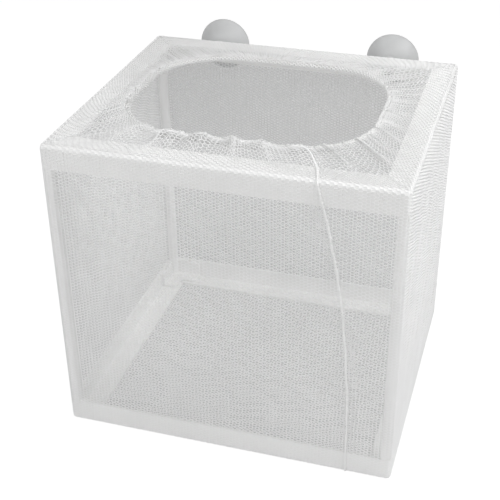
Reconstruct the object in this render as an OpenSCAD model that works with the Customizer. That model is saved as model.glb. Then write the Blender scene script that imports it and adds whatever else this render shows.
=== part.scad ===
// Fish breeding box: a fine net bag stretched over a cube frame of angle-section
// plastic rails and round posts, with an elastic-hemmed mouth in the top and two
// suction cups behind the top rear rail. The walls' fine mesh is drawn as a coarse
// one; the floor and the gathered top are closed. Millimetres, +Z up, +Y to the rear.
// The origin is the middle of the net's underside, below the frame's centre.

/* [Frame] */
// Width of the frame over the outer faces of its rails, left to right
frame_w = 169; // [130:1:240]
// Depth of the frame over the outer faces of its rails, front to rear
frame_d = 149; // [130:1:220]
// Height of the frame over the outer faces of its rails
frame_h = 159; // [110:1:220]
// Width of each flange of a rail's angle section
rail_leg = 12; // [10:0.5:16]
// Thickness of a rail's flanges
rail_t = 1.4; // [1:0.1:2]
// Diameter of a corner post, which is a round tube
post_d = 5.8; // [5.4:0.1:8]
// Wall of a post's tube
post_wall = 1; // [0.8:0.1:1.2]
// Radius of the outside bend of rails and corners
bend_r = 1.6; // [0.8:0.1:2.2]

/* [Corner connectors] */
// Thickness of the tongues that slide inside the rails
tongue_t = 1.5; // [1.2:0.1:2]
// How far a tongue reaches into its rail, and a peg into its post
tongue_reach = 8; // [5:0.5:14]
// How much narrower a tongue is than the flange it lies on
tongue_inset = 1.2; // [0.5:0.1:2]
// Radius of a tongue's rounded tip
tongue_tip_r = 2; // [1:0.1:2.4]
// Bevel of a peg's tip
peg_bevel = 0.6; // [0.3:0.1:0.8]
// Clearance of tongues and pegs in rails and posts, and at the butted ends
push_fit = 0.1; // [0.05:0.05:0.2]

/* [Net bag] */
// Thickness of the net
net_t = 0.5; // [0.3:0.1:0.8]
// Openings side by side in the net's widest wall; the real mesh has about eighty
mesh_count = 12; // [10:1:12]
// Width of the net left between two openings
mesh_bar = 3.4; // [2:0.1:4]
// Width of the gathered net between the hem and a side rail, with the mouth centred
side_gather = 8.9; // [5:0.1:20]
// Width of the gathered net between the hem and the front or rear rail
end_gather = 10.4; // [5:0.1:20]
// Corner radius of the mouth, as a share of its shorter half
mouth_round = 0.75; // [0.3:0.01:0.95]
// How far the mouth sits to the left of the frame's middle
mouth_shift = 2.5; // [0:0.5:4]
// Diameter of the rolled hem around the mouth
hem_d = 3.6; // [3:0.1:4.2]
// Wall of the rolled hem
hem_wall = 0.7; // [0.5:0.1:0.8]
// Height of the stitched slit between the hem's two layers
hem_slit = 0.4; // [0.3:0.05:0.6]
// Diameter of the elastic cord inside the hem
elastic_d = 1.9; // [1:0.1:1.9]

/* [Front seam] */
// Width of the sewn seam ridge that runs down the front
seam_w = 1.6; // [1:0.1:3]
// How far the seam ridge stands out from the net
seam_proud = 0.7; // [0.4:0.1:1.2]
// Distance of the seam's foot from the frame's right face
seam_foot_inset = 23; // [15:1:40]
// How far the seam leans to the left between its foot and the top edge
seam_lean = 19; // [5:1:25]
// How fast the seam leans over near the top
seam_curl = 2.6; // [1.5:0.1:4]
// How much further left the seam runs on across the top, from edge to hem
seam_top_run = 18; // [8:1:24]

/* [Suction cups] */
// Distance of each suction cup's axis from the frame's nearer side
cup_inset = 36.5; // [28:0.5:46]
// Depth of the cups' axes below the top of the frame
cup_drop = 5.5; // [5.2:0.1:6]
// Diameter of a cup at its lip
cup_d = 28.6; // [24:0.2:34]
// Length of a cup from the net to its lip
cup_len = 11; // [9.5:0.5:15]
// Depth of the hollow in a cup
cup_hollow = 6; // [5:0.5:6]
// Width of the flat sealing edge of a cup's lip
lip_w = 1; // [0.8:0.1:1.5]
// Thickness of a cup's rim at the lip
rim_t = 0.8; // [0.6:0.1:1.2]
// Diameter of the boss behind a cup's dome
boss_d = 9; // [8:0.5:11]
// Length of that boss
boss_len = 1.6; // [1:0.1:2]
// Diameter of the neck that passes through net and rail
neck_d = 5; // [4:0.1:5.2]
// Diameter of the button that holds the neck in the rail
button_d = 7.2; // [6.4:0.1:7.2]
// Thickness of that button
button_t = 2.4; // [1.5:0.1:4]
// Bevel round the button's inner edge
button_bevel = 0.8; // [0.3:0.1:1]
// Share of the dome's rise that is a straight cone; the rest curls up near the rim
dome_cone = 0.35; // [0.2:0.05:1]
// How fast the rest curls up
dome_curl = 2.2; // [1.5:0.1:4]
// Radial clearance of the neck in the hole through net and rail
neck_clear = 0.3; // [0.25:0.05:0.5]
// Gap between cup and net, and between button and rail
seat_gap = 0.3; // [0.2:0.05:0.4]

/* [Hidden] */
$fn = 48;

// Frame faces, measured from the origin
frame_x = frame_w / 2;
frame_y = frame_d / 2;
frame_z0 = net_t;
frame_z1 = net_t + frame_h;
// Faces of the net bag
net_x = frame_x + net_t;
net_y = frame_y + net_t;
net_z1 = frame_z1 + net_t;
// Length of rails and posts between the corner connectors
corner_leg = rail_leg;
rail_len_x = frame_w - 2 * (corner_leg + push_fit);
rail_len_y = frame_d - 2 * (corner_leg + push_fit);
post_len = frame_h - 2 * (corner_leg + push_fit);
// Inner faces of the flanges, where the tongues lie
rail_in = rail_t + push_fit;
post_r = post_d / 2;
// Cup axes and the holes through rail and net
cup_x = frame_x - cup_inset;
cup_z = frame_z1 - cup_drop;
hole_r = neck_d / 2 + neck_clear;
// Middle line of the hem
hem_r = hem_d / 2;
hem_mid_w = frame_x - rail_leg - side_gather - hem_r;
hem_mid_d = frame_y - rail_leg - end_gather - hem_r;
hem_mid_r = mouth_round * min(hem_mid_w, hem_mid_d);
hem_z = (frame_z1 + net_z1) / 2;
// Gap between the top net's inner edge and the round hem
hem_seat = 0.1;
// More than any thickness, for cuts that pass right through
through = 50;
// One opening of the mesh and the bar beside it, and their height between the rails
mesh_cell = (max(frame_w, frame_d) - 2 * post_d + mesh_bar) / mesh_count;
mesh_h = frame_h - 2 * rail_leg;

frame_tint = [0.93, 0.93, 0.91];
net_tint = [0.96, 0.96, 0.96, 0.5];
hem_tint = [0.97, 0.97, 0.97];
elastic_tint = [0.9, 0.9, 0.88];
cup_tint = [0.78, 0.8, 0.8];

// Square quarter of a corner: side long, with its outer corner at the origin rounded
module rounded_corner(side, r) {
    difference() {
        square(side);
        difference() {
            square(r);
            translate([r, r]) circle(r);
        }
    }
}

// Angle section with its outer corner at the origin
module angle_profile(leg, t) {
    difference() {
        rounded_corner(leg, bend_r);
        translate([t, t]) square(leg);
    }
}

// Rail along +X from the origin, flanges on the planes y = 0 and z = 0
module rail(len) {
    rotate([90, 0, 90]) linear_extrude(len) angle_profile(rail_leg, rail_t);
}

// Rail along +Y from the origin, flanges on the planes x = 0 and z = 0
module side_rail(len) {
    mirror([1, -1, 0]) rail(len);
}

// Post along +Z from the origin, its tube touching the planes x = 0 and y = 0
module post() {
    translate([post_r, post_r, 0]) linear_extrude(post_len) difference() {
        circle(post_r);
        circle(post_r - post_wall);
    }
}

// Puts a child, drawn in the bottom front left corner, into one of the eight corners
module in_corner(right, rear, top) {
    translate([0, 0, (frame_z0 + frame_z1) / 2])
        mirror([right ? 1 : 0, 0, 0])
            mirror([0, rear ? 1 : 0, 0])
                mirror([0, 0, top ? 1 : 0])
                    translate([-frame_x, -frame_y, -frame_h / 2]) children();
}

module x_rail(rear, top) {
    in_corner(false, rear, top) translate([corner_leg + push_fit, 0, 0]) rail(rail_len_x);
}

module y_rail(right, top) {
    in_corner(right, false, top) translate([0, corner_leg + push_fit, 0]) side_rail(rail_len_y);
}

module z_post(right, rear) {
    in_corner(right, rear, false) translate([0, 0, corner_leg + push_fit]) post();
}

// Flat tongue along +X with rounded tips, from x = 0, between y = low and y = high
module tongue_outline(reach, low, high) {
    w = high - low;
    r = min(tongue_tip_r, w / 2);
    translate([0, low]) {
        square([reach - r, w]);
        translate([0, r]) square([reach, w - 2 * r]);
        for (y = [r, w - r]) translate([reach - r, y]) circle(r);
    }
}

// The two tongues that lie on the floor flanges of the two rails in a corner
module floor_tongues() {
    tip = corner_leg + tongue_reach;
    translate([0, 0, rail_in]) linear_extrude(tongue_t) {
        tongue_outline(tip, rail_in, rail_leg - tongue_inset);
        mirror([1, -1]) tongue_outline(tip, rail_in, rail_leg - tongue_inset);
    }
}

// The tongue that lies on the upright flange of a rail along +X
module wall_tongue() {
    rotate([90, 0, 0]) translate([0, 0, -rail_in - tongue_t]) linear_extrude(tongue_t)
        tongue_outline(corner_leg + tongue_reach, rail_in, rail_leg - tongue_inset);
}

// Round seat that a post butts on, with the peg that its tube is pushed over
module post_seat() {
    peg_r = post_r - post_wall - push_fit;
    tip = corner_leg + tongue_reach;
    translate([post_r, post_r, 0]) {
        translate([0, 0, bend_r]) cylinder(r = post_r, h = corner_leg - bend_r);
        translate([0, 0, bend_r]) cylinder(r = peg_r, h = tip - peg_bevel - bend_r);
        translate([0, 0, tip - peg_bevel])
            cylinder(r1 = peg_r, r2 = peg_r - peg_bevel, h = peg_bevel);
    }
}

// Three-way corner connector: a rounded outer corner with tongues for two rails
// and a peg for a post
module corner_connector() {
    wall = rail_in + tongue_t;
    difference() {
        intersection() {
            linear_extrude(corner_leg) rounded_corner(corner_leg, bend_r);
            rotate([90, 0, 90]) linear_extrude(corner_leg) rounded_corner(corner_leg, bend_r);
            mirror([1, -1, 0]) rotate([90, 0, 90])
                linear_extrude(corner_leg) rounded_corner(corner_leg, bend_r);
        }
        translate([wall, wall, wall]) cube(corner_leg);
    }
    floor_tongues();
    wall_tongue();
    mirror([1, -1, 0]) wall_tongue();
    post_seat();
}

module cup_hole(x) {
    translate([x, 0, cup_z]) rotate([-90, 0, 0]) cylinder(r = hole_r, h = frame_y + through);
}

module cup_holes() {
    for (side = [-1, 1]) cup_hole(side * cup_x);
}

module top_front_rail() { color(frame_tint) x_rail(false, true); }

module top_rear_rail() {
    color(frame_tint) difference() {
        x_rail(true, true);
        cup_holes();
    }
}

module top_left_rail() { color(frame_tint) y_rail(false, true); }
module top_right_rail() { color(frame_tint) y_rail(true, true); }
module bottom_front_rail() { color(frame_tint) x_rail(false, false); }
module bottom_rear_rail() { color(frame_tint) x_rail(true, false); }
module bottom_left_rail() { color(frame_tint) y_rail(false, false); }
module bottom_right_rail() { color(frame_tint) y_rail(true, false); }

module front_left_post() { color(frame_tint) z_post(false, false); }
module front_right_post() { color(frame_tint) z_post(true, false); }
module rear_left_post() { color(frame_tint) z_post(false, true); }
module rear_right_post() { color(frame_tint) z_post(true, true); }

module corner(right, rear, top) {
    color(frame_tint) in_corner(right, rear, top) corner_connector();
}

module top_front_left_corner() { corner(false, false, true); }
module top_front_right_corner() { corner(true, false, true); }
module top_rear_left_corner() { corner(false, true, true); }
module top_rear_right_corner() { corner(true, true, true); }
module bottom_front_left_corner() { corner(false, false, false); }
module bottom_front_right_corner() { corner(true, false, false); }
module bottom_rear_left_corner() { corner(false, true, false); }
module bottom_rear_right_corner() { corner(true, true, false); }

// Box between two opposite corners
module box(low, high) {
    translate(low) cube(high - low);
}

// Six-sided openings in staggered rows, on an area w wide around the origin
module mesh_outline(w) {
    across = round((w + mesh_bar) / mesh_cell);
    step = (w + mesh_bar) / across;
    tall = (step - mesh_bar) / cos(30);
    rows = floor((mesh_h - tall) / (step * cos(30))) + 1;
    row_step = (mesh_h - tall) / (rows - 1);
    for (row = [0:rows - 1]) {
        last = across - 1 - row % 2;
        for (i = [0:last])
            translate([(i - last / 2) * step, (row - (rows - 1) / 2) * row_step])
                rotate(90) circle(d = tall, $fn = 6);
    }
}

// Cuts the mesh through walls that stand width wide across Y, between posts and rails
module mesh_cut(width) {
    translate([0, 0, (frame_z0 + frame_z1) / 2]) rotate([90, 0, 0])
        linear_extrude(frame_w + frame_d, center = true) mesh_outline(width - 2 * post_d);
}

module net_front() {
    color(net_tint) difference() {
        box([-net_x, -net_y, 0], [net_x, -frame_y, net_z1]);
        mesh_cut(frame_w);
    }
}

module net_rear() {
    color(net_tint) difference() {
        box([-net_x, frame_y, 0], [net_x, net_y, net_z1]);
        cup_holes();
        mesh_cut(frame_w);
    }
}

module net_left() {
    color(net_tint) difference() {
        box([-net_x, -frame_y, 0], [-frame_x, frame_y, net_z1]);
        rotate([0, 0, 90]) mesh_cut(frame_d);
    }
}

module net_right() {
    color(net_tint) difference() {
        box([frame_x, -frame_y, 0], [net_x, frame_y, net_z1]);
        rotate([0, 0, 90]) mesh_cut(frame_d);
    }
}

module net_floor() {
    color(net_tint) box([-frame_x, -frame_y, 0], [frame_x, frame_y, frame_z0]);
}

// Rounded rectangle with half sizes x and y
module rounded_rectangle(x, y, r) {
    square([2 * (x - r), 2 * y], center = true);
    square([2 * x, 2 * (y - r)], center = true);
    for (sx = [-1, 1], sy = [-1, 1]) translate([sx * (x - r), sy * (y - r)]) circle(r);
}

// Gathered net between the frame's top edge and the hem
module net_top() {
    grow = hem_r + hem_seat;
    color(net_tint) translate([0, 0, frame_z1]) linear_extrude(net_t) difference() {
        square([frame_w, frame_d], center = true);
        translate([-mouth_shift, 0])
            rounded_rectangle(hem_mid_w + grow, hem_mid_d + grow, hem_mid_r + grow);
    }
}

// Sweeps a profile around the mouth; the profile's +X points away from the mouth
module around_mouth() {
    x = hem_mid_w - hem_mid_r;
    y = hem_mid_d - hem_mid_r;
    translate([-mouth_shift, 0, hem_z]) {
        for (corner = [[x, y, 0], [-x, y, 90], [-x, -y, 180], [x, -y, 270]])
            translate([corner[0], corner[1], 0]) rotate([0, 0, corner[2]])
                rotate_extrude(angle = 90) translate([hem_mid_r, 0]) children();
        for (side = [[x, y, 0, 2 * y], [-x, -y, 180, 2 * y],
                     [-x, y, 90, 2 * x], [x, -y, 270, 2 * x]])
            translate([side[0], side[1], 0]) rotate([0, 0, side[2]])
                translate([hem_mid_r, 0, 0]) rotate([90, 0, 0])
                    linear_extrude(side[3]) children();
    }
}

module mouth_hem() {
    color(hem_tint) around_mouth() difference() {
        circle(hem_r);
        circle(hem_r - hem_wall);
        translate([0, -hem_slit / 2]) square([hem_d, hem_slit]);
    }
}

module hem_elastic() {
    color(elastic_tint) around_mouth() circle(elastic_d / 2);
}

// Distance of the seam from the middle at height z on the front
function seam_x(z) = frame_x - seam_foot_inset - seam_lean * pow(z / net_z1, seam_curl);

// Seam ridge: flat strips on the front face, and one run across the top to the hem
module front_seam() {
    steps = 24;
    x_edge = seam_x(net_z1);
    y_hem = -hem_mid_d - hem_r - hem_seat;
    front = [for (i = [0:steps]) let (z = i * net_z1 / steps) [seam_x(z), z]];
    side = [seam_w / 2, 0];
    color(hem_tint) {
        translate([0, -net_y, 0]) rotate([90, 0, 0]) linear_extrude(seam_proud)
            polygon(concat([for (p = front) p - side],
                           [for (i = [steps:-1:0]) front[i] + side]));
        translate([0, 0, net_z1]) linear_extrude(seam_proud)
            polygon([
                [x_edge - seam_w / 2, -net_y - seam_proud],
                [x_edge + seam_w / 2, -net_y - seam_proud],
                [x_edge + seam_w / 2, -net_y],
                [x_edge + seam_w / 2 - seam_top_run, y_hem],
                [x_edge - seam_w / 2 - seam_top_run, y_hem],
                [x_edge - seam_w / 2, -net_y]
            ]);
    }
}

// Half profile of a suction cup: x is the radius, y the distance from the net's face
module cup_profile() {
    lip_r = cup_d / 2;
    hollow_r = lip_r - lip_w;
    steps = 16;
    // Button, neck and boss, which lie behind each other along the axis
    button_y1 = -net_t - rail_t - seat_gap;
    button_y0 = button_y1 - button_t;
    button_r = button_d / 2;
    // Outside of the dome, from the boss out to the rim
    dome_y0 = seat_gap + boss_len;
    dome_rise = cup_len - rim_t - dome_y0;
    outer = [for (i = [0:steps]) let (s = i / steps)
        [boss_d / 2 + (lip_r - boss_d / 2) * s,
         dome_y0 + dome_rise * (dome_cone * s + (1 - dome_cone) * pow(s, dome_curl))]];
    // Hollow, from the lip's inner edge in to the axis
    inner = [for (i = [0:steps]) let (u = 1 - i / steps)
        [hollow_r * u, cup_len - cup_hollow * (1 - u * u)]];
    polygon(concat(
        [[0, button_y0], [button_r - button_bevel, button_y0],
         [button_r, button_y0 + button_bevel], [button_r, button_y1],
         [neck_d / 2, button_y1], [neck_d / 2, seat_gap], [boss_d / 2, seat_gap]],
        outer,
        [[lip_r, cup_len]],
        inner));
}

module suction_cup(side) {
    color(cup_tint) translate([side * cup_x, net_y, cup_z]) rotate([-90, 0, 0])
        rotate_extrude() cup_profile();
}

module left_suction_cup() { suction_cup(-1); }
module right_suction_cup() { suction_cup(1); }

top_front_rail();
top_rear_rail();
top_left_rail();
top_right_rail();
bottom_front_rail();
bottom_rear_rail();
bottom_left_rail();
bottom_right_rail();
front_left_post();
front_right_post();
rear_left_post();
rear_right_post();
top_front_left_corner();
top_front_right_corner();
top_rear_left_corner();
top_rear_right_corner();
bottom_front_left_corner();
bottom_front_right_corner();
bottom_rear_left_corner();
bottom_rear_right_corner();
net_front();
net_rear();
net_left();
net_right();
net_floor();
net_top();
mouth_hem();
hem_elastic();
front_seam();
left_suction_cup();
right_suction_cup();
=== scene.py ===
import math
from collections import namedtuple

import bpy
import numpy as np
from mathutils import Matrix, Vector


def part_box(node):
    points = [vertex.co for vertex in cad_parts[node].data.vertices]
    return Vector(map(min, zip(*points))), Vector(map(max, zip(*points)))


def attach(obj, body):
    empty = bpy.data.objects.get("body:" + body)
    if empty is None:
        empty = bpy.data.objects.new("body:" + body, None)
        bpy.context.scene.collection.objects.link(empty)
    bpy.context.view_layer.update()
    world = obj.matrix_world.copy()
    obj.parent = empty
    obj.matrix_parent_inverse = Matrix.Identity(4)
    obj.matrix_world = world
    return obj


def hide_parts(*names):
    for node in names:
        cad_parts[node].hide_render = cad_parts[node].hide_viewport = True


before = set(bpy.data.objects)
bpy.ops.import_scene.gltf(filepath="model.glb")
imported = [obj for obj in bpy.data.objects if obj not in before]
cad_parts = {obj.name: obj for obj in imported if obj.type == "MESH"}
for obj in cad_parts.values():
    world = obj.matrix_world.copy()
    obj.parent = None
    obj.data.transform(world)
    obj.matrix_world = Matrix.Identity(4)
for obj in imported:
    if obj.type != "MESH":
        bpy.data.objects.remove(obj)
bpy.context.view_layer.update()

MM = 0.001
TAU = 2 * math.pi

# The camera, fitted to the photograph: angles in degrees, place in metres
AZIMUTH = 17.2
ELEVATION = 31.32
ROLL = -0.72
CAMERA_AT = (0.1320, -0.4536, 0.3619)
LENS = 75.02
SENSOR = 36.0


def aim_camera():
    """Creates the camera at the photograph's angle."""
    a, e, roll = (math.radians(x) for x in (AZIMUTH, ELEVATION, ROLL))
    ahead = Vector((-math.sin(a) * math.cos(e), math.cos(a) * math.cos(e), -math.sin(e)))
    level = ahead.cross(Vector((0, 0, 1))).normalized()
    above = level.cross(ahead)
    right = level * math.cos(roll) + above * math.sin(roll)
    up = above * math.cos(roll) - level * math.sin(roll)
    data = bpy.data.cameras.new("camera")
    data.lens = LENS
    data.sensor_width = SENSOR
    data.clip_start = 0.01
    data.clip_end = 20
    camera = bpy.data.objects.new("camera", data)
    bpy.context.scene.collection.objects.link(camera)
    turn = Matrix((right, up, -ahead)).transposed().to_4x4()
    camera.matrix_world = Matrix.Translation(Vector(CAMERA_AT)) @ turn
    bpy.context.scene.camera = camera


aim_camera()

# The net: pitch of its columns and rows, and width and thickness of its threads
COLUMN = 1.75 * MM
ROW = 1.65 * MM
THREAD_W = 0.38 * MM
THREAD_T = 0.28 * MM
# Where a junction lies from the middle of its hexagon, in columns
JUNCTION = 0.69

# The bag's mid-surface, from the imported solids
front_low, front_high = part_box("net_front")
rail_low, rail_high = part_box("top_front_rail")
NET_T = front_high.y - front_low.y
SHEET_X = front_high.x - NET_T / 2
SHEET_Y = -front_low.y - NET_T / 2
SHEET_TOP = front_high.z - NET_T / 2
SHEET_BOTTOM = NET_T / 2
FRAME_X = SHEET_X - NET_T / 2
FRAME_Y = SHEET_Y - NET_T / 2
FRAME_TOP = front_high.z - NET_T
RAIL = rail_high.z - rail_low.z
post_low, post_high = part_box("front_left_post")
POST = post_high.x - post_low.x
BEND = 2.2 * MM

# The hem's middle line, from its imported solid
hem_low, hem_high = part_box("mouth_hem")
HEM_R = (hem_high.z - hem_low.z) / 2
HEM_X = (hem_high.x - hem_low.x) / 2 - HEM_R
HEM_Y = (hem_high.y - hem_low.y) / 2 - HEM_R
HEM_Z = (hem_low.z + hem_high.z) / 2
HEM_BEND = 0.75 * HEM_Y
HEM_AT = np.array([(hem_low.x + hem_high.x) / 2, 0])
# Where the net climbs onto the hem, where the hem ends again, and how slim the hem is
SHOULDER = math.radians(60)
HEM_TURN = math.radians(640)
HEM_SLIM = 0.92

# The curved seam on the front
SEAM_INSET = 22.2 * MM
SEAM_LEAN = 18.2 * MM
SEAM_CURL = 2.6
SEAM_TOP_RUN = 18 * MM

# Each side of the bag: direction along it, direction out of it, half of its straight
# stretch, and its distance from the middle; then the same two sizes for the hem
Side = namedtuple("Side", "along out straight reach hem_straight hem_reach")
SIDES = [
    Side((1, 0), (0, -1), SHEET_X - BEND, SHEET_Y, HEM_X - HEM_BEND, HEM_Y),
    Side((0, 1), (1, 0), SHEET_Y - BEND, SHEET_X, HEM_Y - HEM_BEND, HEM_X),
    Side((-1, 0), (0, 1), SHEET_X - BEND, SHEET_Y, HEM_X - HEM_BEND, HEM_Y),
    Side((0, -1), (-1, 0), SHEET_Y - BEND, SHEET_X, HEM_Y - HEM_BEND, HEM_X),
]
SIDE_NAMES = ["net_front", "net_right", "net_rear", "net_left"]


def path_length(straight, bend):
    """Length of one side of a rounded rectangle, from mid corner to mid corner."""
    return 2 * straight + bend * math.pi / 2


def even(x):
    """The even whole number nearest to x."""
    return 2 * round(x / 2)


SIDE_COLUMNS = [even(path_length(side.straight, BEND) / COLUMN) for side in SIDES]
SIDE_STARTS = np.concatenate([[0], np.cumsum(SIDE_COLUMNS)])
COLUMNS = int(SIDE_STARTS[-1])
QUARTER = BEND * math.pi / 2
WALL_STRAIGHT = SHEET_TOP - SHEET_BOTTOM - 2 * BEND
WALL_PATH = WALL_STRAIGHT + 2 * QUARTER
WALL_ROWS = round(WALL_PATH / ROW)
TOP_ROWS = 17
HEM_ROWS = 11
# How strongly the rows of the top crowd together towards the hem, and what the loose
# front adds to that
CROWDING = 1.6
FRONT_CROWDING = 0.8
TOP_START = WALL_ROWS
HEM_START = WALL_ROWS + TOP_ROWS

rng = np.random.default_rng(7)


def waves(count, low, high):
    """Random rows of (cycles, size, phase) for a smooth periodic function."""
    cycles = rng.integers(low, high, count)
    return list(zip(cycles, rng.uniform(0.5, 1, count), rng.uniform(0, TAU, count)))


def periodic(u, rows):
    """Smooth periodic function of u in 0..1, about -1..1."""
    total = sum(size for _, size, _ in rows)
    return sum(size * np.sin(TAU * n * u + phase) for n, size, phase in rows) / total * 1.6


# Large bunches and fine folds round the mouth
BUNCHES = 42
FOLDS = 118
BUNCH_DRIFT = waves(6, 2, 9)
BUNCH_SIZE = waves(9, 5, 38)
FOLD_DRIFT = waves(6, 3, 17)
FOLD_SIZE = waves(9, 9, 60)
BUNCH_LEAN = waves(7, 3, 15)
HEM_LUMPS = waves(12, 40, 110)
SWAY = [waves(5, 1, 6), waves(5, 2, 9), waves(5, 1, 5)]

# The walls: how far each gives way between the rails, how far from rails and posts it is
# wholly free, and how far its rows run up and down, in waves and on a slant
WALL_GIVE = [0.3 * MM, 0.12 * MM, 0.25 * MM, 0.25 * MM]
FREE_FROM = 14 * MM
ROW_WAVE = 0.35 * MM
ROW_SLANT = 0.2 * MM
# The net's pucker along the front seam, and its half width and pitch
PUCKER = 0.22 * MM
PUCKER_HALF = 5 * MM
PUCKER_PITCH = 4.4 * MM

# Height of the bunches in mm, what the loose front adds to it, and height of the fine
# folds
BUNCH_HIGH = 1.3
FRONT_HIGH = 0.6
FOLD_HIGH = 0.45
# How strongly bunches and folds draw the net together
BUNCH_PINCH = 1.3
FOLD_PINCH = 0.5
# Thick bunches between the mouth and the front rail: place along the hem from its
# middle, half width, and strength; then their height and pull, the share of that pull
# that the hem itself takes up, and the share that other folds keep between them
FRONT_RIDGES = [
    (-41 * MM, 3.4 * MM, 0.7), (-26 * MM, 3.2 * MM, 0.8), (-11.5 * MM, 3.0 * MM, 1.0),
    (3.5 * MM, 2.6 * MM, 1.0), (17.5 * MM, 3.0 * MM, 0.8), (32 * MM, 3.8 * MM, 1.0),
    (44 * MM, 2.4 * MM, 0.6),
]
RIDGE_HIGH = 3.2 * MM
RIDGE_PULL = 0.95
HEM_PULL = 0.6
BETWEEN_RIDGES = 0.6

# The gathered top: how many columns a fold leans, how far the net stands up from the
# rails, what the loose front adds, its sag, and the ripple of the net on the rails
FOLD_LEAN = 2.2
STAND = 0.35 * MM
FRONT_STAND = 1.6 * MM
SAG = 0.25 * MM
RIPPLE = 0.06 * MM
# The hem: its lumps, how far they lift it at the front, how much slimmer its inner turn
# is, and between which angles it becomes so
LUMP = 0.22
LUMP_LIFT = 0.55 * MM
INNER_SLIM = 0.14
INNER_FROM, INNER_TO = 5.4, 6.7


def smooth(x, low, high):
    """0 below low and 1 above high, with an even blend between."""
    t = np.clip((x - low) / (high - low), 0, 1)
    return t * t * (3 - 2 * t)


def rounded_point(side, share, straight, reach, bend, offset):
    """Point of a rounded rectangle at a share of one side, moved out by offset, and the
    direction out of the rectangle there."""
    along, out = (np.array(v, float) for v in (SIDES[side].along, SIDES[side].out))
    half = straight + bend * math.pi / 4
    q = (2 * share - 1) * half
    beta = np.clip(np.abs(q) - straight, 0, None) / bend
    sign = np.sign(q)
    core = np.clip(q, -straight, straight)
    radius = bend + offset
    a = core + radius * np.sin(beta) * sign
    b = reach - bend + radius * np.cos(beta)
    direction = np.cos(beta)[:, None] * out + (np.sin(beta) * sign)[:, None] * along
    return a[:, None] * along + b[:, None] * out, direction


def bag_outline(side, share, offset):
    """Point and direction out on the bag's outline."""
    return rounded_point(side, share, SIDES[side].straight, SIDES[side].reach, BEND, offset)


def hem_outline(side, share, offset):
    """Point on the line of the hem."""
    straight, reach = SIDES[side].hem_straight, SIDES[side].hem_reach
    return rounded_point(side, share, straight, reach, HEM_BEND, offset)[0]


def pleats(u, front):
    """Folds of the gathered net, for u in 0..1 round the mouth: their height, and how far
    they draw the net together along u into dense bunches with open net between."""
    main = TAU * (BUNCHES * u + 0.6 * periodic(u, BUNCH_DRIFT))
    fine = TAU * (FOLDS * u + 0.6 * periodic(u, FOLD_DRIFT))
    # The gathers are strongest at the front right and lie nearly flat at the rear
    strength = 0.7 + 0.35 * np.cos(TAU * (u - 0.17))
    main_size = np.clip(0.72 + 0.5 * periodic(u, BUNCH_SIZE), 0.15, 1.1) * strength
    fine_size = np.clip(0.5 + 0.35 * periodic(u, FOLD_SIZE), 0.1, 0.9)
    height = main_size * (BUNCH_HIGH + FRONT_HIGH * front) * np.cos(main - 0.5)
    height = height + FOLD_HIGH * fine_size * np.cos(fine)
    pinch = np.clip(BUNCH_PINCH * main_size, 0, 0.9) * np.sin(main) / BUNCHES
    pinch = pinch + FOLD_PINCH * fine_size * np.sin(fine) / FOLDS
    return MM * height, -pinch / TAU


def ridges(q):
    """Height of the front bunches at places q along the hem, and their pull along it."""
    height, pull = np.zeros_like(q), np.zeros_like(q)
    for place, half, strength in FRONT_RIDGES:
        s = (q - place) / half
        bell = strength * np.exp(-s * s / 2)
        height += RIDGE_HIGH * bell
        pull -= RIDGE_PULL * half * s * bell
    return height, pull


def front_bunch(side, share):
    """1 along the loose stretch of the front, left of the seam, and 0 elsewhere."""
    if side != 0:
        return np.zeros_like(share)
    return smooth(share, 0.14, 0.3) * (1 - smooth(share, 0.64, 0.74))


def seam_offset(z):
    """Distance of the seam from the middle at height z on the front."""
    curl = np.clip(z / front_high.z, 0, 1) ** SEAM_CURL
    return FRAME_X - SEAM_INSET - SEAM_LEAN * curl


def wall_sway(side, share, z, across):
    """How far the net gives way, and the share by which it is free of rails and posts."""
    half = SIDES[side].straight + BEND
    from_post = half - POST - np.abs(across)
    from_rail = np.minimum(z - RAIL, FRAME_TOP - RAIL - z)
    free = smooth(np.minimum(from_post, from_rail), 0, FREE_FROM)
    h = z / FRAME_TOP
    turn = 0.37 * side
    wave = periodic(share + turn, SWAY[0]) * np.cos(TAU * (0.8 * h + share))
    wave = wave + 0.6 * periodic(h + turn, SWAY[1]) * np.sin(TAU * 1.3 * share + turn)
    wave = wave + 0.4 * periodic(h + 0.7 * share, SWAY[2])
    sway = WALL_GIVE[side] * wave * free
    if side == 0:
        off = across - seam_offset(z)
        near = np.exp(-(off / PUCKER_HALF) ** 2)
        pull = np.sin(TAU * z / PUCKER_PITCH + 1.5 * np.sin(TAU * z / (31 * MM)))
        sway = sway + PUCKER * near * pull * free
    return sway, free


def wall_points(side, share, rows):
    """Points up a wall, with a bend at its foot and at its top."""
    path = rows / WALL_ROWS * WALL_PATH
    foot = np.clip(path, -QUARTER, QUARTER) / BEND
    head = np.clip(path - QUARTER - WALL_STRAIGHT, 0, QUARTER) / BEND
    inset = BEND * (1 - np.sin(foot)) + BEND * (1 - np.cos(head))
    z = SHEET_BOTTOM + BEND * (1 - np.cos(foot)) + np.clip(path - QUARTER, 0, WALL_STRAIGHT)
    z = z + BEND * np.sin(head)
    across = (2 * share - 1) * (SIDES[side].straight + BEND * math.pi / 4)
    sway, give = wall_sway(side, share, z, across)
    plan, direction = bag_outline(side, share, -inset)
    wave = np.sin(TAU * (across / (19 * MM) + side) + 2 * np.sin(TAU * z / (43 * MM)))
    slant = np.sin(TAU * (z - 0.6 * across) / (31 * MM) + side)
    slack = give * (ROW_WAVE * wave + ROW_SLANT * slant)
    return np.column_stack([plan + direction * sway[:, None], z + slack])


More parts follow.
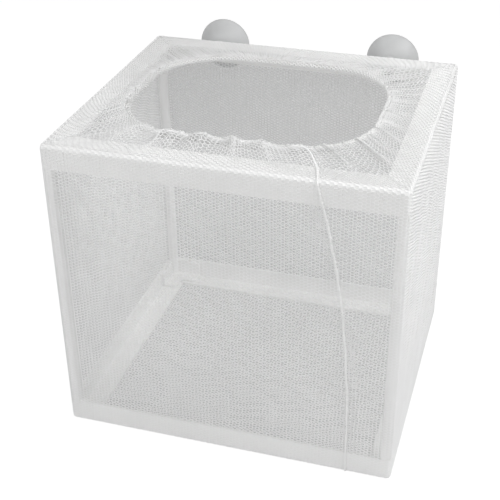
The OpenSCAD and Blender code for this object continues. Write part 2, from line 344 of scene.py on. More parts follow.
def gathered_points(side, share, turn, rows):
    """Points on the gathered top and on the hem, for turn in 0..1 round the bag."""
    hem_half = SIDES[side].hem_straight + HEM_BEND * math.pi / 4
    sides_round = COLUMNS / SIDE_COLUMNS[side]
    slim = HEM_R * HEM_SLIM
    t = np.clip((rows - TOP_START) / TOP_ROWS, 0, 1)
    theta = SHOULDER + HEM_TURN * np.maximum(rows - HEM_START, 0) / HEM_ROWS
    hold = smooth(np.cos(theta - SHOULDER), 0.1, 1)
    front = front_bunch(side, share)
    fold, pinch = pleats(turn, front)
    pull = np.zeros_like(share)
    if side == 0:
        ridge, pull = ridges((2 * share - 1) * hem_half)
        fold = BETWEEN_RIDGES * fold + ridge
        pinch = BETWEEN_RIDGES * pinch
    lean = periodic(turn, BUNCH_LEAN) * np.sin(math.pi * t) * FOLD_LEAN / COLUMNS
    drawn = share + (pinch * (0.4 + 0.6 * hold) + lean) * sides_round
    drawn = drawn + HEM_PULL * pull / (2 * hem_half)
    # Rows are stretched on the rails and crowd together at the hem
    edge, _ = bag_outline(side, share, -BEND)
    rim = hem_outline(side, drawn, slim * math.cos(SHOULDER))
    crowd = 1 - (1 - t) ** (CROWDING + FRONT_CROWDING * front)
    flat = edge + (rim + HEM_AT - edge) * crowd[:, None]
    drawn_by = smooth(t, 0.02, 0.35) * (1 - (1 - HEM_PULL) * smooth(crowd, 0.5, 0.95))
    slide = pull * (drawn_by - HEM_PULL * crowd)
    nip = pinch * 2 * hem_half * sides_round
    slide = slide + nip * np.clip(smooth(t, 0.1, 0.5) - crowd, 0, 1)
    flat = flat + slide[:, None] * np.array(SIDES[side].along)
    past_x = FRAME_X - RAIL - np.abs(flat[:, 0])
    past_y = FRAME_Y - RAIL - np.abs(flat[:, 1])
    free = smooth(np.minimum(past_x, past_y), -1.5 * MM, 8 * MM)
    fade = 1 - 0.45 * smooth(crowd, 0.8, 1)
    ripple = RIPPLE * np.cos(TAU * BUNCHES * 3 * turn) * smooth(t, 0.05, 0.3)
    lift = free * (fade * (fold + STAND + FRONT_STAND * front) - SAG)
    climb = (HEM_Z - SHEET_TOP + slim * math.sin(SHOULDER)) * smooth(crowd, 0.6, 1)
    top = np.column_stack([flat, SHEET_TOP + ripple * (1 - free) + lift + climb])
    # Round the elastic, back to where it is stitched and on to the inner turn
    lumps = periodic(turn, HEM_LUMPS)
    away = (1 - np.cos(theta - SHOULDER)) / 2
    inner = smooth(theta, INNER_FROM, INNER_TO)
    swell = slim * (1 + LUMP * lumps * (0.4 + front) * away - INNER_SLIM * inner)
    ring = hem_outline(side, drawn, swell * np.cos(theta))
    ring_z = HEM_Z + swell * np.sin(theta) + hold * lift + LUMP_LIFT * front * lumps * away
    return top, np.column_stack([ring + HEM_AT, ring_z])


def bag_point(u, v):
    """Point on the bag's mid-surface: u in columns round it, v in rows up from the floor."""
    u = np.mod(np.asarray(u, float), COLUMNS)
    v = np.asarray(v, float)
    points = np.zeros((len(u), 3))
    for side in range(len(SIDES)):
        here = (u >= SIDE_STARTS[side]) & (u < SIDE_STARTS[side + 1])
        share = (u[here] - SIDE_STARTS[side]) / SIDE_COLUMNS[side]
        rows = v[here]
        wall = wall_points(side, share, rows)
        top, hem = gathered_points(side, share, u[here] / COLUMNS, rows)
        above = np.where((rows > HEM_START)[:, None], hem, top)
        points[here] = np.where((rows > TOP_START)[:, None], above, wall)
    return points


# The least that a mitre between two strands may count, so that no corner runs far out
MITRE_LEAST = 0.45


def knit(columns, first_row, rows, place, piece_of, cyclic):
    """Threads of a hexagonal net as closed, three-sided strands that share their junctions.

    place gives the points for columns and rows, and piece_of the number of the piece
    that each strand belongs to, or -1 for none. Returns the points, and for each piece
    its four-sided and its three-sided faces."""
    i, j = (x.ravel() for x in np.meshgrid(np.arange(columns), np.arange(rows), indexing="ij"))
    odd = i % 2
    count = len(i)
    v = first_row + j + 0.5 * odd
    u = np.concatenate([i + JUNCTION, i - JUNCTION])
    v = np.concatenate([v, v])
    middle = place(u, v)

    def neighbour(step, shift, side):
        """Numbers of the junctions step columns on, and whether they exist."""
        to_i, to_j = i + step, j + shift
        real = (to_j >= 0) & (to_j < rows)
        if cyclic:
            to_i = to_i % columns
        real &= (to_i >= 0) & (to_i < columns)
        return np.where(real, side * count + to_i * rows + to_j, 0), real

    up, down = odd, odd - 1
    right = [neighbour(2, 0, 1), neighbour(1, up, 1), neighbour(1, down, 1)]
    left = [neighbour(-2, 0, 0), neighbour(-1, down, 0), neighbour(-1, up, 0)]
    to = np.array([np.concatenate([a[0], b[0]]) for a, b in zip(right, left)]).T
    real = np.array([np.concatenate([a[1], b[1]]) for a, b in zip(right, left)]).T

    ends = middle[to]
    normal = np.cross(ends[:, 1] - ends[:, 0], ends[:, 2] - ends[:, 0])
    normal /= np.maximum(np.linalg.norm(normal, axis=1), 1e-12)[:, None]
    ways = ends - middle[:, None]
    ways /= np.maximum(np.linalg.norm(ways, axis=2), 1e-12)[:, :, None]
    leftward = np.cross(normal[:, None], ways)
    # Each junction has three corners on the outside of the net and a ridge on the inside
    vertices = np.empty((2 * count, 4, 3))
    for k in range(3):
        a, b = leftward[:, k], -leftward[:, (k + 1) % 3]
        mitre = np.maximum(1 + (a * b).sum(1), MITRE_LEAST)[:, None]
        vertices[:, k] = middle + (a + b) / mitre * THREAD_W / 2 + normal * THREAD_T / 3
    vertices[:, 3] = middle - normal * THREAD_T * 2 / 3

    # Every strand runs from a right-hand junction to a left-hand one, with the same slot
    sound = real.all(axis=1)
    faces = {}
    strands = []
    for k in range(3):
        a = np.arange(count)
        b = to[:count, k]
        good = real[:count, k] & sound[:count] & sound[b]
        a, b = a[good], b[good]
        du = u[b] - u[a]
        if cyclic:
            du = (du + columns / 2) % columns - columns / 2
        piece = piece_of(u[a] + du / 2, (v[a] + v[b]) / 2)
        strands.append((a, b, np.full(len(a), k), piece))
    a, b, k, piece = (np.concatenate(x) for x in zip(*strands))
    for number in np.unique(piece[piece >= 0]):
        mine = piece == number
        p, q, s = a[mine], b[mine], k[mine]
        low = (s - 1) % 3
        left_p, right_p, ridge_p = 4 * p + s, 4 * p + low, 4 * p + 3
        left_q, right_q, ridge_q = 4 * q + low, 4 * q + s, 4 * q + 3
        quads = [
            (left_p, left_q, ridge_q, ridge_p), (ridge_p, ridge_q, right_q, right_p),
            (right_p, right_q, left_q, left_p),
        ]
        # The outside of each junction, and the end that a strand of another piece leaves
        slots = np.concatenate([3 * p + s, 3 * q + s])
        touched = np.unique(slots // 3)
        every = (3 * touched[:, None] + np.arange(3)).ravel()
        open_slots = np.setdiff1d(every, slots)
        o, s = open_slots // 3, open_slots % 3
        triangles = [
            (4 * touched, 4 * touched + 1, 4 * touched + 2),
            (4 * o + (s - 1) % 3, 4 * o + 3, 4 * o + s),
        ]
        faces[int(number)] = [
            np.concatenate([np.column_stack(x) for x in group]) for group in (quads, triangles)]
    return vertices.reshape(-1, 3), faces


def mesh_object(name, points, *groups):
    """Mesh object, smoothly shaded, of groups of faces with a row of corners for each."""
    used, corners = np.unique(np.concatenate([g.ravel() for g in groups]), return_inverse=True)
    sizes = np.concatenate([np.full(len(g), g.shape[1]) for g in groups])
    starts = np.cumsum(sizes) - sizes
    mesh = bpy.data.meshes.new(name)
    mesh.vertices.add(len(used))
    mesh.vertices.foreach_set("co", points[used].astype(np.float32).ravel())
    mesh.loops.add(len(corners))
    mesh.loops.foreach_set("vertex_index", corners.ravel().astype(np.int32))
    mesh.polygons.add(len(sizes))
    mesh.polygons.foreach_set("loop_start", starts.astype(np.int32))
    mesh.update(calc_edges=True)
    mesh.polygons.foreach_set("use_smooth", np.ones(len(sizes), bool))
    obj = bpy.data.objects.new(name, mesh)
    bpy.context.scene.collection.objects.link(obj)
    return obj


def bag_piece(u, v):
    """Number of the bag's piece at a place: 0 to 3 the walls, 4 the top, 5 the hem."""
    side = np.searchsorted(SIDE_STARTS, np.mod(u, COLUMNS), side="right") - 1
    piece = np.where(v > HEM_START, 5, np.where(v > TOP_START, 4, side))
    return np.where((v < 0) | (v > HEM_START + HEM_ROWS), -1, piece)


def knit_bag():
    """The walls, the gathered top and the hem, knitted as one net and split into pieces."""
    rows = HEM_START + HEM_ROWS + 3
    points, faces = knit(COLUMNS, -1, rows, bag_point, bag_piece, cyclic=True)
    made = {}
    for number, name in enumerate(SIDE_NAMES + ["net_top", "mouth_hem"]):
        made[name] = mesh_object(name + "_threads", points, *faces[number])
    return made


# The floor panel reaches this far under the foot of the walls, lies up to twice this far
# above its edges, and is knitted with this many columns to spare, which are left out
FLOOR_LAP = 0.9 * MM
FLOOR_WAVE = 0.25 * MM
FLOOR_SPARE = 3


def knit_floor():
    """The floor panel, laid flat under the bottom rails."""
    half_x = SHEET_X - BEND + FLOOR_LAP
    half_y = SHEET_Y - BEND + FLOOR_LAP
    columns = round(2 * half_x / COLUMN)
    rows = round(2 * half_y / ROW)

    def place(u, v):
        x = ((u - FLOOR_SPARE) / columns * 2 - 1) * half_x
        y = (v / rows * 2 - 1) * half_y
        past_x = FRAME_X - RAIL - np.abs(x)
        past_y = FRAME_Y - RAIL - np.abs(y)
        free = smooth(np.minimum(past_x, past_y), 0, 15 * MM)
        wave = np.sin(TAU * (x * 11 + y * 7) + 2 * np.sin(TAU * y * 9)) * np.sin(TAU * x * 6)
        return np.column_stack([x, y, SHEET_BOTTOM + FLOOR_WAVE * free * (1 + wave)])

    def inside(u, v):
        u = u - FLOOR_SPARE
        kept = (u > 0) & (u < columns) & (v > 0) & (v < rows)
        return np.where(kept, 0, -1)

    points, faces = knit(columns + 2 * FLOOR_SPARE, -2, rows + 5, place, inside, cyclic=False)
    return mesh_object("net_floor_threads", points, *faces[0])


# Keeps a tube's first direction from lying along its path
ASKEW = [0.013, 0.029, 0.017]


def tube(path, radii, sides=8, squash=1.0, normal=None):
    """Points and four-sided faces of a closed tube along path, flattened along normal."""
    path = np.asarray(path, float)
    count = len(path)
    ahead = np.gradient(path, axis=0)
    ahead /= np.linalg.norm(ahead, axis=1)[:, None]
    if normal is None:
        normal = np.cross(ahead, np.roll(ahead, 1, axis=0) + ASKEW)
    side = np.cross(ahead, normal)
    side /= np.linalg.norm(side, axis=1)[:, None]
    up = np.cross(side, ahead)
    angle = np.arange(sides) * TAU / sides
    rise = np.reshape(squash, (-1, 1, 1)) * np.sin(angle)[None, :, None]
    ring = np.cos(angle)[None, :, None] * side[:, None] + rise * up[:, None]
    points = path[:, None] + np.asarray(radii, float).reshape(-1, 1, 1) * ring
    a = np.arange(count - 1)[:, None] * sides
    k = np.arange(sides)[None]
    n = (k + 1) % sides
    quads = np.stack([a + k, a + n, a + sides + n, a + sides + k], axis=-1).reshape(-1, 4)
    ends = []
    for base, turn in ((0, 1), ((count - 1) * sides, -1)):
        for m in range(sides // 2 - 1):
            cap = [base + m, base + sides - 1 - m, base + sides - 2 - m, base + m + 1]
            ends.append(cap if turn == 1 else cap[::-1])
    return points.reshape(-1, 3), np.concatenate([quads, np.array(ends)])


def joined(parts):
    """Several (points, faces) as one."""
    points, faces, start = [], [], 0
    for p, f in parts:
        points.append(p)
        faces.append(f + start)
        start += len(p)
    return np.concatenate(points), np.concatenate(faces)


def seam_place(v, shift=0.0):
    """Columns at which the seam, moved right by shift, crosses row v of the front."""
    v = np.asarray(v, float)
    path = v / WALL_ROWS * WALL_PATH
    z = np.clip(SHEET_BOTTOM + BEND + path - QUARTER, 0, front_high.z)
    t = np.clip((v - TOP_START) / TOP_ROWS, 0, 1)
    crowd = 1 - (1 - t) ** CROWDING
    x = seam_offset(z) - SEAM_TOP_RUN * (0.4 + 0.6 * t) * crowd + shift - HEM_AT[0] * crowd
    full = path_length(SIDES[0].straight, BEND)
    gathered = path_length(SIDES[0].hem_straight, HEM_BEND)
    return SIDE_COLUMNS[0] * (0.5 + x / (full * (1 - crowd) + gathered * crowd))


def surface_frame(u, v, step=0.25):
    """Points and outward normals of the bag's mid-surface."""
    du = bag_point(u + step, v) - bag_point(u - step, v)
    dv = bag_point(u, v + step) - bag_point(u, v - step)
    normal = np.cross(du, dv)
    return bag_point(u, v), normal / np.linalg.norm(normal, axis=1)[:, None]


def run_length(points):
    """Length of the path through points, up to each of them."""
    steps = np.linalg.norm(np.diff(points, axis=0), axis=1)
    return np.concatenate([[0], np.cumsum(steps)])


# The seam's rolled ridge: half its width and height in mm, what it loses of each low on
# the front, and how far its middle lies off the net
SEAM_HALF, SEAM_HALF_LOSS = 0.5, 0.12
SEAM_HIGH, SEAM_HIGH_LOSS = 0.3, 0.1
SEAM_LIFT = 0.24 * MM
SEAM_PLACES = 620
# The overlock thread: its pitch and radius, and the places along it
SEAM_PITCH = 2.1 * MM
SEAM_THREAD = 0.13 * MM
THREAD_PLACES = 2500


def sew_seam():
    """The rolled seam ridge down the front, with the overlock thread round it."""
    v = np.linspace(0.4, HEM_START - 0.3, SEAM_PLACES)
    points, normal = surface_frame(seam_place(v), v)
    length = run_length(points)
    beat = np.sin(TAU * length / SEAM_PITCH)
    # The rolled edge stands up at the top and lies flat lower down
    lower = 1 - smooth(v / WALL_ROWS, 0.12, 0.8)
    uneven = 0.05 * beat + 0.05 * np.sin(TAU * length / (17 * MM))
    half = (SEAM_HALF - SEAM_HALF_LOSS * lower + uneven) * MM
    high = (SEAM_HIGH - SEAM_HIGH_LOSS * lower + 0.03 * beat) * MM
    side = np.cross(np.gradient(points, axis=0), normal)
    side /= np.linalg.norm(side, axis=1)[:, None]
    wander = 0.12 * MM * np.sin(TAU * length / (23 * MM)) + 0.06 * MM * beat
    centre = points + normal * SEAM_LIFT + side * wander[:, None]
    body = tube(centre, half, sides=12, squash=high / half, normal=normal)
    fine = np.linspace(0, len(v) - 1, THREAD_PLACES)

    def at(x):
        """The values or vectors x, taken at the thread's places."""
        columns = x.reshape(len(v), -1)
        return np.column_stack([np.interp(fine, np.arange(len(v)), c) for c in columns.T])

    turn = TAU * at(length) / SEAM_PITCH
    out = SEAM_THREAD * 0.4
    wound = at(centre) + at(side) * np.cos(turn) * (at(half) + out)
    wound = wound + at(normal) * np.sin(turn) * (at(high) + out)
    thread = tube(wound, np.full(len(fine), SEAM_THREAD), sides=6)
    return mesh_object("front_seam_ridge", *joined([body, thread]))


# The cut edges behind the seam: columns, their pitch, rows by which they are shifted
# against the front's own, how far behind it they lie, and their least width in mm
ALLOWANCE_COLUMNS = 12
ALLOWANCE_PITCH = 0.93 * COLUMN
ALLOWANCE_SHIFT = 0.31
ALLOWANCE_DEPTH = 0.5 * MM
ALLOWANCE_LEAST = 0.9


def knit_allowance():
    """The cut edges of the net behind the seam: folded left near the top, right lower down."""

    def aside(u):
        """Distance to the right of the seam."""
        return (u - ALLOWANCE_COLUMNS / 2) * ALLOWANCE_PITCH

    def place(u, v):
        v = v + ALLOWANCE_SHIFT
        points, normal = surface_frame(seam_place(v, aside(u)), v)
        return points - normal * ALLOWANCE_DEPTH

    def inside(u, v):
        shift = aside(u) / MM
        h = v / WALL_ROWS
        right = ALLOWANCE_LEAST + 3.4 * (1 - smooth(h, 0.45, 0.75))
        left = ALLOWANCE_LEAST + 5.6 * smooth(h, 0.66, 0.93)
        kept = (shift < right) & (shift > -left) & (v > 1) & (v < WALL_ROWS - 2)
        return np.where(kept, 0, -1)

    points, faces = knit(ALLOWANCE_COLUMNS, 0, WALL_ROWS, place, inside, cyclic=False)
    return mesh_object("seam_allowance", points, *faces[0])


# The hem's stitches: their spacing, height and radius, the share of the spacing where
# each starts and ends, the rows by which they lie before the hem, points in each, and
# the places that measure the way round
HEM_STITCH = 3.4 * MM
STITCH_HIGH = 0.42 * MM
STITCH_R = 0.16 * MM
STITCH_ENDS = np.array([0.12, 0.8])
STITCH_BEFORE = 0.9
STITCH_POINTS = 9
ROUND_PLACES = 3000


def stitch_hem():
    """Running stitches that close the hem round its elastic."""
    u = np.linspace(0, COLUMNS, ROUND_PLACES)
    points, normal = surface_frame(u, np.full(len(u), HEM_START - STITCH_BEFORE))
    length = run_length(points)
    count = int(length[-1] / HEM_STITCH)
    arch = STITCH_HIGH * np.sin(np.linspace(0.12, 0.88, STITCH_POINTS) * math.pi)
    radii = np.full(STITCH_POINTS, STITCH_R)
    parts = []
    for n in range(count):
        start, end = (n + STITCH_ENDS) * length[-1] / count
        s = np.linspace(start, end, STITCH_POINTS)
        line, up = (
            np.column_stack([np.interp(s, length, x[:, k]) for k in range(3)])
            for x in (points, normal))
        parts.append(tube(line + up * arch[:, None], radii, sides=6, normal=up))
    return mesh_object("hem_stitches", *joined(parts))


LATHE_SEGMENTS = 96


def lathe(name, profile, centre):
    """Surface turned about +Y through centre; profile holds (radius, distance along Y)."""
    profile = np.asarray(profile, float)
    angle = np.arange(LATHE_SEGMENTS) * TAU / LATHE_SEGMENTS
    ring = np.stack([np.cos(angle), np.zeros(LATHE_SEGMENTS), np.sin(angle)], axis=1)
    out = profile[:, 0, None, None] * ring[None]
    points = out + profile[:, 1, None, None] * np.array([0, 1, 0])
    points = points.reshape(-1, 3) + np.array(centre)
    a = np.arange(len(profile) - 1)[:, None] * LATHE_SEGMENTS
    b = a + LATHE_SEGMENTS
    k = np.arange(LATHE_SEGMENTS)[None]
    n = (k + 1) % LATHE_SEGMENTS
    quads = np.stack([a + k, b + k, b + n, a + n], axis=-1).reshape(-1, 4)
    return mesh_object(name, points, quads)


# The cups, as in the solids: gap to the net and behind the rail, boss, lip, depth of the
# hollow, thickness of the rail, and radii of neck and button
CUP_GAP = 0.3 * MM
BOSS_R = 4.5 * MM
BOSS_LENGTH = 1.6 * MM
LIP_HIGH = 0.8 * MM
LIP_WIDTH = 1 * MM
HOLLOW = 6 * MM
RAIL_T = 1.4 * MM
NECK_R = 2.5 * MM
BUTTON_R = 3.6 * MM
# How far from the axis a closed end starts, so that no face has a side of no length
NEAR_AXIS = 1e-5


def cup(side):
    """A suction cup with its boss, neck and button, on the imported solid's axis."""
    node = side + "_suction_cup"
    low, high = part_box(node)
    centre = ((low.x + high.x) / 2, 0, (low.z + high.z) / 2)
    lip = (high.x - low.x) / 2
    seat = SHEET_Y + NET_T / 2 + CUP_GAP
    behind = FRAME_Y - RAIL_T - CUP_GAP
    s = np.linspace(0, 1, 25)
    u = 1 - s
    rise = high.y - LIP_HIGH - seat - BOSS_LENGTH
    dome = np.column_stack([
        BOSS_R + (lip - BOSS_R) * s,
        seat + BOSS_LENGTH + rise * (0.35 * s + 0.65 * s ** 2.2)])
    # A soft step where the dome leaves the boss
    dome[:4, 1] += 0.25 * MM * np.array([0, 0.6, 0.4, 0.1])
    bead = [
        [lip - 0.05 * MM, high.y - 0.75 * LIP_HIGH],
        [lip, high.y - 0.35 * LIP_HIGH],
        [lip - 0.12 * MM, high.y],
    ]
    hollow = np.column_stack([NEAR_AXIS + (lip - LIP_WIDTH) * u, high.y - HOLLOW * (1 - u * u)])
    button = [
        [NEAR_AXIS, low.y], [BUTTON_R - 1.2 * MM, low.y],
        [BUTTON_R - 0.4 * MM, low.y + 0.25 * MM], [BUTTON_R - 0.05 * MM, low.y + 0.8 * MM],
        [BUTTON_R, behind - 0.2 * MM], [BUTTON_R - 0.2 * MM, behind],
        [NECK_R + 0.1 * MM, behind], [NECK_R, behind + 0.1 * MM],
    ]
    neck = [
        [NECK_R, seat - 0.1 * MM], [NECK_R + 0.1 * MM, seat], [BOSS_R - 0.3 * MM, seat],
        [BOSS_R, seat + 0.3 * MM], [BOSS_R, seat + BOSS_LENGTH - 0.3 * MM],
    ]
    profile = np.concatenate([button, neck, dome, bead, hollow])
    return lathe(node + "_moulding", profile, centre)


class Nodes:
    """A material's node tree, with short ways to add nodes and links."""

    def __init__(self, name):
        self.material = bpy.data.materials.new(name)
        self.material.use_nodes = True
        self.tree = self.material.node_tree
        self.shader = self.tree.nodes["Principled BSDF"]
        self.output = self.tree.nodes["Material Output"]

    def add(self, kind, **settings):
        """A new node of this kind."""
        node = self.tree.nodes.new(kind)
        for key, value in settings.items():
            setattr(node, key, value)
        return node

    def link(self, source, target):
        """Joins an output to an input."""
        self.tree.links.new(source, target)

    def noise(self, scale, detail=2.0, rough=0.5, distortion=0.0):
        """Noise over the piece's own coordinates, scale in features per metre."""
        place = self.add("ShaderNodeTexCoord")
        node = self.add("ShaderNodeTexNoise")
        node.inputs["Scale"].default_value = scale
        node.inputs["Detail"].default_value = detail
        node.inputs["Roughness"].default_value = rough
        node.inputs["Distortion"].default_value = distortion
        self.link(place.outputs["Object"], node.inputs["Vector"])
        return node.outputs["Fac"]

    def ramp(self, factor, stops):
        """Colours a factor by stops of (position, colour)."""
        node = self.add("ShaderNodeValToRGB")
        elements = node.color_ramp.elements
        while len(elements) < len(stops):
            elements.new(0.5)
        for element, (position, colour) in zip(elements, stops):
            element.position = position
            element.color = (*colour, 1)
        self.link(factor, node.inputs["Fac"])
        return node.outputs["Color"]

    def spread(self, factor, low, high):
        """Maps 0..1 noise to low..high."""
        node = self.add("ShaderNodeMapRange")
        node.inputs["From Min"].default_value = 0.3
        node.inputs["From Max"].default_value = 0.7
        node.inputs["To Min"].default_value = low
        node.inputs["To Max"].default_value = high
        self.link(factor, node.inputs["Value"])
        return node.outputs["Result"]

    def bump(self, height, distance, strength, below=None):
        """Relief from a height, over the relief below if there is one."""
        node = self.add("ShaderNodeBump")
        node.inputs["Distance"].default_value = distance
        node.inputs["Strength"].default_value = strength
        self.link(height, node.inputs["Height"])
        if below is not None:
            self.link(below, node.inputs["Normal"])
        return node.outputs["Normal"]

    def set(self, **values):
        """Sets inputs of the surface, named with _ for each space."""
        for key, value in values.items():
            self.shader.inputs[key.replace("_", " ")].default_value = value


def thread_material(name, pale, dark, glow):
    """White polyester yarn: cloudy tint, fine filaments, soft sheen. A little glow stands
    for the light that goes through bunched yarn."""
    m = Nodes(name)
    tint = m.ramp(m.noise(60, 4), [(0.3, dark), (0.7, pale)])
    m.link(tint, m.shader.inputs["Base Color"])
    m.link(m.spread(m.noise(900, 2), 0.5, 0.72), m.shader.inputs["Roughness"])
    filaments = m.noise(5200, 2, 0.6, 0.4)
    m.link(m.bump(filaments, 0.06 * MM, 0.45), m.shader.inputs["Normal"])
    m.set(Specular_IOR_Level=0.35, Sheen_Weight=0.25, Sheen_Roughness=0.4)
    m.set(Emission_Color=(1, 1, 1, 1), Emission_Strength=glow)
    return m.material


def plastic_material():
    """Satin white moulded plastic, a little uneven, with faint scuffs."""
    m = Nodes("frame_plastic")
    cloud = m.noise(38, 5, 0.55)
    tint = m.ramp(cloud, [(0.3, (0.85, 0.85, 0.845)), (0.72, (0.91, 0.91, 0.905))])
    m.link(tint, m.shader.inputs["Base Color"])
    m.link(m.spread(m.noise(260, 4, 0.6), 0.34, 0.5), m.shader.inputs["Roughness"])
    grain = m.bump(m.noise(2600, 3, 0.6), 0.03 * MM, 0.35)
    m.link(m.bump(m.noise(120, 3), 0.12 * MM, 0.3, grain), m.shader.inputs["Normal"])
    # The emission is painted light: a faint glow that lifts the plastic where it lies in shade.
    m.set(Specular_IOR_Level=0.45, Emission_Color=(1, 1, 0.99, 1), Emission_Strength=0.05)
    return m.material


def elastic_material():
    """White covered elastic: a fine braid over the cord."""
    m = Nodes("elastic")
    place = m.add("ShaderNodeTexCoord")
    braid = m.add("ShaderNodeTexVoronoi", feature="SMOOTH_F1")
    braid.inputs["Scale"].default_value = 1900
    m.link(place.outputs["Object"], braid.inputs["Vector"])
    from_strand = braid.outputs["Distance"]
    # The tint darkens away from each strand's middle: painted shade in the grooves between the
    # braid's strands.
    tint = m.ramp(from_strand, [(0.1, (0.86, 0.86, 0.85)), (0.8, (0.66, 0.66, 0.65))])
    m.link(tint, m.shader.inputs["Base Color"])
    m.link(m.spread(m.noise(700, 2), 0.6, 0.8), m.shader.inputs["Roughness"])
    m.link(m.bump(from_strand, 0.1 * MM, 0.6), m.shader.inputs["Normal"])
    # The emission is painted light: a faint glow that lifts the elastic where it lies in shade.
    m.set(Emission_Color=(1, 1, 0.99, 1), Emission_Strength=0.05)
    return m.material


def soft_plastic_material():
    """Greyish translucent soft vinyl with a dull gloss."""
    m = Nodes("clear_soft_plastic")
    tint = m.ramp(m.noise(90, 3), [(0.3, (0.56, 0.565, 0.567)), (0.7, (0.62, 0.625, 0.627))])
    m.link(tint, m.shader.inputs["Base Color"])
    m.link(m.spread(m.noise(240, 3), 0.42, 0.56), m.shader.inputs["Roughness"])
    m.link(m.bump(m.noise(320, 2), 0.1 * MM, 0.25), m.shader.inputs["Normal"])
    m.set(Transmission_Weight=0.4, IOR=1.46, Specular_IOR_Level=0.33)
    # The emission is painted light: a faint glow that lifts the cup where it lies in shade.
    m.set(Emission_Color=(0.99, 1, 1, 1), Emission_Strength=0.04)
    return m.material


def paint(obj, material):
    """Gives a piece one material."""
    obj.data.materials.clear()
    obj.data.materials.append(material)


net_white = thread_material("net_mesh", (0.93, 0.93, 0.93), (0.88, 0.88, 0.88), 0.05)
hem_white = thread_material("hem_net", (0.93, 0.93, 0.93), (0.88, 0.88, 0.875), 0.05)
# The rolled seam is a little greyer than the yarn: painted shade for the shadowed gaps of the
# loose roll, which its solid mesh lacks
seam_white = thread_material("seam", (0.89, 0.89, 0.89), (0.83, 0.83, 0.825), 0.05)
plastic = plastic_material()
elastic = elastic_material()
vinyl = soft_plastic_material()

for node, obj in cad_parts.items():
    if node.endswith(("_rail", "_post", "_corner")):
        paint(obj, plastic)
paint(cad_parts["hem_elastic"], elastic)

threads = knit_bag()
threads["net_floor"] = knit_floor()
for node, obj in threads.items():
    is_hem = node == "mouth_hem"
    paint(obj, hem_white if is_hem else net_white)
    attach(obj, "box")
    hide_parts(node)

seam = sew_seam()
allowance = knit_allowance()
stitches = stitch_hem()
for obj in (seam, allowance, stitches):
    paint(obj, seam_white if obj == seam else hem_white)
    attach(obj, "box")
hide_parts("front_seam")

for side in ("left", "right"):
    piece = cup(side)
    paint(piece, vinyl)
    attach(piece, side + "_cup")
    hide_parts(side + "_suction_cup")


def see_directly(nodes, path):
    """1 for a ray that shows the backdrop white, and 0 for others.

    White is for camera rays that reach it without passing the veil, and for what gloss
    and clear plastic show of it."""
    links = path.id_data.links

    def math_node(operation, first, second=None):
        """A node that works on two values; without a second one, it takes a half."""
        node = nodes.new("ShaderNodeMath")
        node.operation = operation
        node.inputs[1].default_value = 0.5
        links.new(first, node.inputs[0])
        if second is not None:
            links.new(second, node.inputs[1])
        return node.outputs[0]

    direct = math_node("LESS_THAN", path.outputs["Transparent Depth"])
    seen = math_node("MULTIPLY", direct, path.outputs["Is Camera Ray"])
    through = math_node("MAXIMUM", seen, path.outputs["Is Transmission Ray"])
    return math_node("MAXIMUM", through, path.outputs["Is Glossy Ray"])


# The backdrop's grey, its strength as light from all round, and its strength where it is
# seen through the net
STUDIO_GREY = 0.8
FILL = 0.47
BACKDROP = 0.25


def light_world():
    """Light from all round, and a backdrop that is white, or grey behind the net."""
    world = bpy.data.worlds.new("studio")
    bpy.context.scene.world = world
    world.use_nodes = True
    nodes, links = world.node_tree.nodes, world.node_tree.links
    nodes.clear()
    path = nodes.new("ShaderNodeLightPath")

    def background(shade, strength):
        """A backdrop of one shade of grey."""
        node = nodes.new("ShaderNodeBackground")
        node.inputs["Color"].default_value = (shade, shade, shade, 1)
        node.inputs["Strength"].default_value = strength
        return node.outputs[0]

    def mixed(factor, first, second):
        """The first backdrop where factor is 0, and the second where it is 1."""
        node = nodes.new("ShaderNodeMixShader")
        links.new(factor, node.inputs["Fac"])
        links.new(first, node.inputs[1])
        links.new(second, node.inputs[2])
        return node.outputs[0]

    lit = background(STUDIO_GREY, FILL)
    grey = background(STUDIO_GREY, BACKDROP)
    by_camera = mixed(path.outputs["Is Camera Ray"], lit, grey)
    shown = mixed(see_directly(nodes, path), by_camera, background(1, 1))
    out = nodes.new("ShaderNodeOutputWorld")
    links.new(shown, out.inputs["Surface"])


# The corners of a square about the middle
SQUARE = [(-1, -1), (1, -1), (1, 1), (-1, 1)]
# The floor: its reach, how far it lies below the box, its tint for light and as the
# camera sees it, and its glow where it shows white and where it is seen through the net
FLOOR_REACH = 4.0
FLOOR_DROP = 0.1 * MM
FLOOR_TINT = 0.7
FLOOR_SEEN = 0.3
FLOOR_SHINE = 0.84
FLOOR_GLOW = 0.34


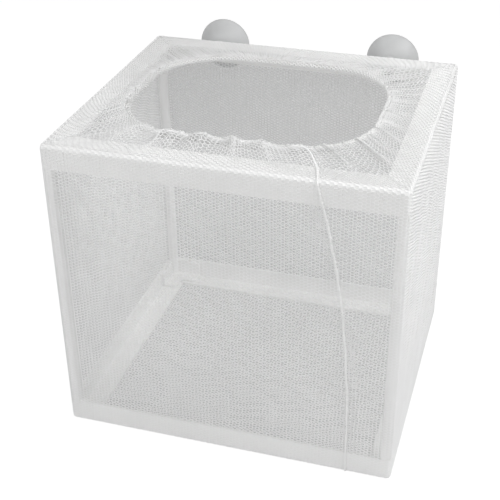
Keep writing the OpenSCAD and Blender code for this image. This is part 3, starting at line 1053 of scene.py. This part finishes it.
def lay_floor():
    """A pale floor that keeps the object's shadow, and shows white where it is lit."""
    corners = np.array([(x, y, 0) for x, y in SQUARE]) * FLOOR_REACH
    floor = mesh_object("floor", corners - [0, 0, FLOOR_DROP], np.array([[0, 1, 2, 3]]))
    m = Nodes("floor")
    m.set(Roughness=0.9, Specular_IOR_Level=0.1)
    path = m.add("ShaderNodeLightPath")
    tint = m.add("ShaderNodeMix", data_type="RGBA")
    tint.inputs["A"].default_value = (FLOOR_TINT, FLOOR_TINT, FLOOR_TINT, 1)
    tint.inputs["B"].default_value = (FLOOR_SEEN, FLOOR_SEEN, FLOOR_SEEN, 1)
    m.link(path.outputs["Is Camera Ray"], tint.inputs["Factor"])
    m.link(tint.outputs["Result"], m.shader.inputs["Base Color"])
    glow = m.add("ShaderNodeMath", operation="MULTIPLY")
    glow.inputs[1].default_value = FLOOR_GLOW
    m.link(path.outputs["Is Camera Ray"], glow.inputs[0])
    strength = m.add("ShaderNodeMath", operation="MULTIPLY_ADD")
    strength.inputs[1].default_value = FLOOR_SHINE - FLOOR_GLOW
    m.link(see_directly(m.tree.nodes, path), strength.inputs[0])
    m.link(glow.outputs[0], strength.inputs[2])
    shine = m.add("ShaderNodeEmission")
    m.link(strength.outputs[0], shine.inputs["Strength"])
    both = m.add("ShaderNodeAddShader")
    m.link(m.shader.outputs[0], both.inputs[0])
    m.link(shine.outputs[0], both.inputs[1])
    m.link(both.outputs[0], m.output.inputs["Surface"])
    paint(floor, m.material)


# How far inside the frame's outer faces the veil hangs
VEIL_INSET = 4.3 * MM


def hang_veil():
    """A wholly clear screen just inside the frame, which is no part of the object.

    It changes no light. It only tells the backdrop that it is seen through the box,
    so that it shows its own grey there, and the net stands out against it."""
    half = (FRAME_X - VEIL_INSET, FRAME_Y - VEIL_INSET)
    heights = (VEIL_INSET, FRAME_TOP - VEIL_INSET)
    corners = [(x * half[0], y * half[1], z) for z in heights for x, y in SQUARE]
    walls = [[k, (k + 1) % 4, (k + 1) % 4 + 4, k + 4] for k in range(4)]
    quads = [[3, 2, 1, 0], [4, 5, 6, 7]] + walls
    veil = mesh_object("veil", np.array(corners), np.array(quads))
    m = Nodes("veil")
    clear = m.add("ShaderNodeBsdfTransparent")
    m.link(clear.outputs[0], m.output.inputs["Surface"])
    paint(veil, m.material)
    veil.visible_diffuse = False
    veil.visible_glossy = False
    veil.visible_transmission = False
    veil.visible_shadow = False


def softbox(name, place, target, size, power):
    """A square area lamp that faces a point."""
    data = bpy.data.lights.new(name, "AREA")
    data.shape = "SQUARE"
    data.size = size
    data.energy = power
    lamp = bpy.data.objects.new(name, data)
    lamp.location = place
    lamp.rotation_mode = "QUATERNION"
    lamp.rotation_quaternion = (Vector(target) - Vector(place)).to_track_quat("-Z", "Y")
    bpy.context.scene.collection.objects.link(lamp)


light_world()
lay_floor()
hang_veil()
BOX_MIDDLE = (0, 0, 0.08)
softbox("key", (0.5, -0.08, 0.68), BOX_MIDDLE, 0.4, 3.6)
softbox("front_fill", (-0.4, -1.0, 0.6), BOX_MIDDLE, 0.8, 4.2)
# The veil is wholly clear, so rays may pass it often
bpy.context.scene.cycles.transparent_max_bounces = 32
bpy.context.scene.view_settings.view_transform = "Standard"
